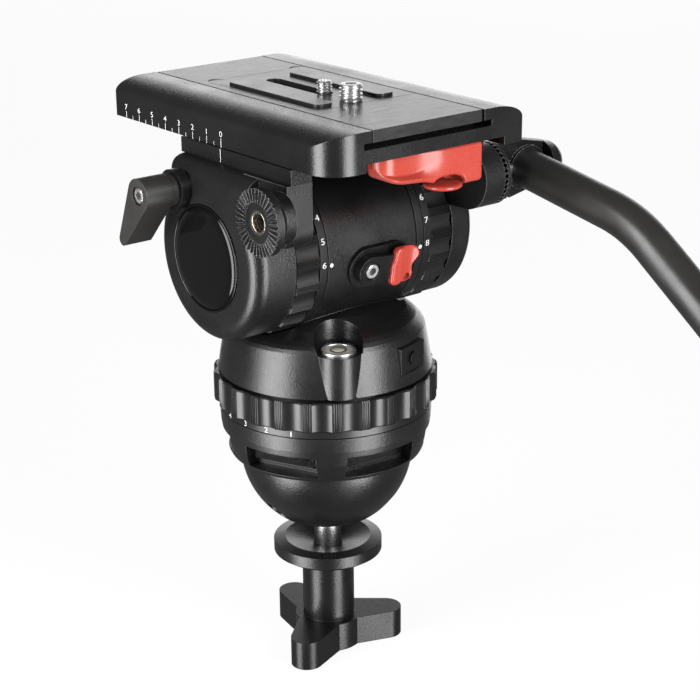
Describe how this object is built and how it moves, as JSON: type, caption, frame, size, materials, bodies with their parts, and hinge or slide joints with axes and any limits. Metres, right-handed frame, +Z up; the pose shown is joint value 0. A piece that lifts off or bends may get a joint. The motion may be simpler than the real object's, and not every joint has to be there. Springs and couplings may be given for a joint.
{
  "type": "fluid video head",
  "caption": "Black fluid video head on a bowl half ball: pan and tilt with drag rings, counterbalance dial, brakes, sliding plate with red quick release, rosettes and a cranked pan handle.",
  "frame": {"origin": "centre of the levelling half ball, in the plane of its flat top under the lower base", "axes": "+X is the operator's right, +Y points to the lens, +Z is up along the pan axis"},
  "size_m": [0.1725, 0.4449, 0.2574],
  "materials": {
    "black_metal": "satin black coating",
    "black_plastic": "matt black",
    "red_plastic": "satin coral red",
    "gloss_badge": "gloss black",
    "tube_black": "gloss black coating",
    "grey_metal": "satin dark grey anodised",
    "rubber": "matt black",
    "steel": "turned",
    "bright_metal": "bright",
    "brass": "machined",
    "vial": "clear, pale green"
  },
  "bodies": {
    "base": {"lower_base": "black_metal", "half_ball": "black_metal", "ball_screws": "steel", "tie_stud": "steel", "pan_spindle": "steel", "pan_stator": "steel"},
    "tie_cup": {"tie_cup": "black_metal"},
    "tie_knob": {"tie_knob": "black_plastic"},
    "pan_ring": {"pan_drag_ring": "black_metal"},
    "pan": {"pan_housing": "black_metal", "pan_rotor": "steel", "pan_bearing": "steel", "level_bezel": "bright_metal", "level_vial": "vial", "light_plate": "black_plastic", "tilt_stator": "steel", "tilt_bearings": "steel", "balance_pack": "steel", "tilt_brake_mount": "black_metal", "pan_brake_mount": "black_metal"},
    "light": {"light_button": "black_plastic"},
    "tilt_ring": {"tilt_drag_ring": "black_metal"},
    "balance_dial": {"balance_ring": "black_metal"},
    "tilt_brake": {"tilt_brake_hub": "black_plastic", "tilt_brake_grip": "red_plastic", "tilt_brake_screw": "steel"},
    "pan_brake": {"pan_brake_hub": "black_plastic", "pan_brake_grip": "red_plastic", "pan_brake_screw": "steel"},
    "tilt": {"left_housing": "black_metal", "right_housing": "black_metal", "badge": "gloss_badge", "rosette_inserts": "brass", "tilt_shaft": "steel", "tilt_rotor": "steel", "top_rail": "black_metal", "rail_screws": "steel", "slide_gibs": "steel", "lock_collar": "black_metal"},
    "slide_lock": {"lock_lever": "black_plastic", "lock_screw": "steel"},
    "carriage": {"carriage": "black_metal", "qr_pin": "steel"},
    "clamp_bar": {"plate_clamp": "steel"},
    "quick_release": {"qr_lever": "red_plastic"},
    "release_button": {"qr_button": "red_plastic"},
    "plate": {"camera_plate": "grey_metal", "grip_pads": "rubber"},
    "stud_slider": {"stud_washer": "steel"},
    "small_stud": {"small_stud": "bright_metal"},
    "large_stud": {"large_stud": "bright_metal"},
    "handle": {"handle_clamp": "black_metal", "handle_tube": "tube_black", "handle_grip": "rubber"},
    "handle_knob": {"handle_knob": "black_plastic", "handle_bolt": "steel"}
  },
  "joints": [
    {"name": "pan_turn", "type": "hinge", "parent": "base", "child": "pan", "pos_m": [0, 0, 0.05], "axis": [0, 0, 1], "continuous": true},
    {"name": "tilt_turn", "type": "hinge", "parent": "pan", "child": "tilt", "pos_m": [0, 0, 0.096], "axis": [1, 0, 0], "range_deg": [-80, 70]},
    {"name": "pan_drag_set", "type": "hinge", "parent": "base", "child": "pan_ring", "pos_m": [0, 0, 0.03], "axis": [0, 0, 1], "range_deg": [-87, 0]},
    {"name": "tilt_drag_set", "type": "hinge", "parent": "pan", "child": "tilt_ring", "pos_m": [0, 0, 0.096], "axis": [1, 0, 0], "range_deg": [0, 95.4]},
    {"name": "balance_set", "type": "hinge", "parent": "pan", "child": "balance_dial", "pos_m": [0, 0, 0.096], "axis": [1, 0, 0], "range_deg": [0, 127]},
    {"name": "tie_slide", "type": "slide", "parent": "base", "child": "tie_cup", "axis": [0, 0, 1], "range_m": [-0.006, 0.006]},
    {"name": "tie_turn", "type": "hinge", "parent": "tie_cup", "child": "tie_knob", "pos_m": [0, 0, -0.07], "axis": [0, 0, 1], "range_deg": [-1233.8, 1233.8]},
    {"name": "light_press", "type": "slide", "parent": "pan", "child": "light", "axis": [-0.289, 0.9573, 0], "range_m": [0, 0.0008], "stiffness_N_per_m": 300},
    {"name": "tilt_brake_turn", "type": "hinge", "parent": "pan", "child": "tilt_brake", "pos_m": [-0.0059, -0.03546, 0.08981], "axis": [0, -0.9851, -0.1719], "range_deg": [-50, 0]},
    {"name": "pan_brake_turn", "type": "hinge", "parent": "pan", "child": "pan_brake", "pos_m": [0.0483, 0.01294, 0.0472], "axis": [0.9659, 0.2588, 0], "range_deg": [-45, 0]},
    {"name": "slide_lock_turn", "type": "hinge", "parent": "tilt", "child": "slide_lock", "pos_m": [-0.0674, 0.0165, 0.1218], "axis": [1, 0, 0], "range_deg": [-45, 45]},
    {"name": "carriage_slide", "type": "slide", "parent": "tilt", "child": "carriage", "axis": [0, 1, 0], "range_m": [-0.07, 0]},
    {"name": "quick_release_turn", "type": "hinge", "parent": "carriage", "child": "quick_release", "pos_m": [0.0106, -0.063, 0.134], "axis": [0, 0, 1], "range_deg": [0, 60]},
    {"name": "clamp_slide", "type": "slide", "parent": "carriage", "child": "clamp_bar", "axis": [1, 0, 0], "range_m": [0, 0.0012]},
    {"name": "release_press", "type": "slide", "parent": "quick_release", "child": "release_button", "axis": [0, 0, 1], "range_m": [0, 0.0018], "stiffness_N_per_m": 300},
    {"name": "plate_slide", "type": "slide", "parent": "carriage", "child": "plate", "axis": [0, 1, 0], "range_m": [-0.045, 0]},
    {"name": "stud_slide", "type": "slide", "parent": "plate", "child": "stud_slider", "axis": [0, 1, 0], "range_m": [0, 0.034]},
    {"name": "small_stud_turn", "type": "hinge", "parent": "stud_slider", "child": "small_stud", "pos_m": [-0.0014, -0.0038, 0.1555], "axis": [0, 0, 1], "continuous": true},
    {"name": "large_stud_turn", "type": "hinge", "parent": "plate", "child": "large_stud", "pos_m": [-0.0014, -0.021, 0.1555], "axis": [0, 0, 1], "continuous": true},
    {"name": "handle_set", "type": "hinge", "parent": "tilt", "child": "handle", "pos_m": [0.05145, -0.042, 0.1205], "axis": [1, 0, 0], "range_deg": [-60, 90]},
    {"name": "handle_knob_turn", "type": "hinge", "parent": "handle", "child": "handle_knob", "pos_m": [0.0836, -0.042, 0.1205], "axis": [1, 0, 0], "continuous": true}
  ],
  "couplings": [
    {"joint": "tie_slide", "follows": "tie_turn", "m_per_rad": 0.00027852},
    {"joint": "clamp_slide", "follows": "quick_release_turn", "m_per_rad": 0.00114}
  ]
}
